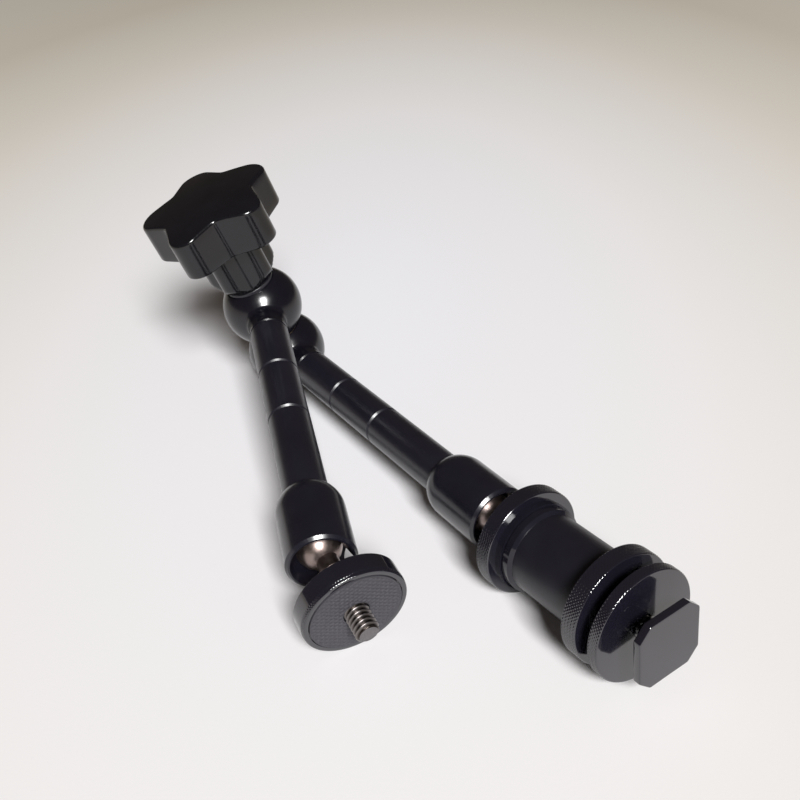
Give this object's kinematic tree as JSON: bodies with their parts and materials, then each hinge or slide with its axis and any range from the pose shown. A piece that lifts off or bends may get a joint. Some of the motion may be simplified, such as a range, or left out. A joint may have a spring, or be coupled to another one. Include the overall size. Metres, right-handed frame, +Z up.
{
  "type": "articulating friction arm",
  "caption": "Articulating friction arm: rods joined by a knob-clamped elbow, ball-stud ends, a round screw platform and a shoe foot with thumb wheels.",
  "frame": {"origin": "bottom centre of the whole arm as it lies on a table", "axes": "+Z up from the table, -Y from the elbow along the arm with the shoe foot, +X across the arms, away from the arm with the platform"},
  "size_m": [0.0786, 0.2036, 0.0796],
  "materials": {
    "black_anodised": "black anodised, satin on the arms and bright on the wheels",
    "knob_plastic": "moulded, smooth and glossy",
    "stud_nickel": "dark nickel plate on steel",
    "pad_rubber": "fine diamond texture",
    "steel": "ground",
    "brass": "turned",
    "friction_disc": "pressed fibre"
  },
  "bodies": {
    "shoe_arm": {"shoe_arm_cheek": "black_anodised", "shoe_arm_tube": "black_anodised", "shoe_arm_socket": "black_anodised", "clamp_bolt": "steel", "friction_washer": "friction_disc"},
    "camera_arm": {"camera_arm_cheek": "black_anodised", "camera_arm_tube": "black_anodised", "camera_arm_socket": "black_anodised"},
    "wedge": {"wedge_sleeve": "brass", "pressure_washer": "steel"},
    "knob": {"star_knob": "knob_plastic", "knob_insert": "brass"},
    "shoe_rod": {"shoe_arm_rod": "steel"},
    "camera_rod": {"camera_arm_rod": "steel"},
    "shoe_seat": {"shoe_arm_seat": "brass"},
    "camera_seat": {"camera_arm_seat": "brass"},
    "shoe_stud": {"shoe_ball_stud": "stud_nickel"},
    "camera_stud": {"camera_ball_stud": "stud_nickel"},
    "lock_wheel": {"lock_wheel": "black_anodised"},
    "shoe_adapter": {"adapter_barrel": "black_anodised", "shoe_foot": "black_anodised"},
    "stem_wheel": {"stem_wheel": "black_anodised"},
    "clamp_collar": {"clamp_collar": "black_anodised"},
    "clamp_wheel": {"clamp_wheel": "black_anodised"},
    "platform": {"platform_wheel": "black_anodised", "platform_pad": "pad_rubber"}
  },
  "joints": [
    {"name": "elbow_swing", "type": "hinge", "parent": "shoe_arm", "child": "camera_arm", "pos_m": [0.02336, 0.07974, 0.01325], "axis": [0.3614, -0.007, -0.9324], "range_deg": [-9, 325]},
    {"name": "wedge_lift", "type": "slide", "parent": "shoe_arm", "child": "wedge", "axis": [-0.3614, 0.007, 0.9324], "range_m": [0, 0.0025]},
    {"name": "knob_turn", "type": "hinge", "parent": "wedge", "child": "knob", "pos_m": [0.02336, 0.07974, 0.01325], "axis": [-0.3614, 0.007, 0.9324], "range_deg": [0, 900]},
    {"name": "shoe_rod_slide", "type": "slide", "parent": "shoe_arm", "child": "shoe_rod", "axis": [0, 1, -0.0075], "range_m": [0, 0.00075]},
    {"name": "camera_rod_slide", "type": "slide", "parent": "camera_arm", "child": "camera_rod", "axis": [0.3417, 0.9314, 0.1255], "range_m": [0, 0.00075]},
    {"name": "shoe_stud_round", "type": "hinge", "parent": "shoe_arm", "child": "shoe_seat", "pos_m": [0.02336, -0.03526, 0.01411], "axis": [0, -1, 0.0075], "continuous": true},
    {"name": "shoe_stud_lean", "type": "hinge", "parent": "shoe_seat", "child": "shoe_stud", "pos_m": [0.02336, -0.03526, 0.01411], "axis": [-0.9025, 0.0032, 0.4307], "range_deg": [-35.9, 32.1]},
    {"name": "lock_wheel_turn", "type": "hinge", "parent": "shoe_stud", "child": "lock_wheel", "pos_m": [0.02336, -0.03526, 0.01411], "axis": [0.0143, -0.9992, 0.0374], "range_deg": [-360, 0]},
    {"name": "shoe_adapter_turn", "type": "hinge", "parent": "shoe_stud", "child": "shoe_adapter", "pos_m": [0.02336, -0.03526, 0.01411], "axis": [0.0143, -0.9992, 0.0374], "continuous": true},
    {"name": "stem_wheel_turn", "type": "hinge", "parent": "shoe_adapter", "child": "stem_wheel", "pos_m": [0.02336, -0.03526, 0.01411], "axis": [0.0143, -0.9992, 0.0374], "range_deg": [0, 360]},
    {"name": "clamp_wheel_travel", "type": "slide", "parent": "shoe_adapter", "child": "clamp_collar", "axis": [0.0143, -0.9992, 0.0374], "range_m": [0, 0.00382]},
    {"name": "clamp_wheel_turn", "type": "hinge", "parent": "clamp_collar", "child": "clamp_wheel", "pos_m": [0.02336, -0.03526, 0.01411], "axis": [0.0143, -0.9992, 0.0374], "range_deg": [0, 1080]},
    {"name": "camera_stud_round", "type": "hinge", "parent": "camera_arm", "child": "camera_seat", "pos_m": [-0.02329, -0.02723, 0.01779], "axis": [-0.3417, -0.9314, -0.1255], "continuous": true},
    {"name": "camera_stud_lean", "type": "hinge", "parent": "camera_seat", "child": "camera_stud", "pos_m": [-0.02329, -0.02723, 0.01779], "axis": [0.2255, -0.2109, 0.9511], "range_deg": [-48.5, 19.5]},
    {"name": "platform_turn", "type": "hinge", "parent": "camera_stud", "child": "platform", "pos_m": [-0.02329, -0.02723, 0.01779], "axis": [-0.1024, -0.976, -0.1921], "continuous": true}
  ],
  "couplings": [
    {"joint": "wedge_lift", "follows": "knob_turn", "m_per_rad": 0.00015915},
    {"joint": "shoe_rod_slide", "follows": "knob_turn", "m_per_rad": 0.000047746},
    {"joint": "camera_rod_slide", "follows": "knob_turn", "m_per_rad": 0.000047746},
    {"joint": "clamp_wheel_travel", "follows": "clamp_wheel_turn", "m_per_rad": 0.00020213}
  ]
}
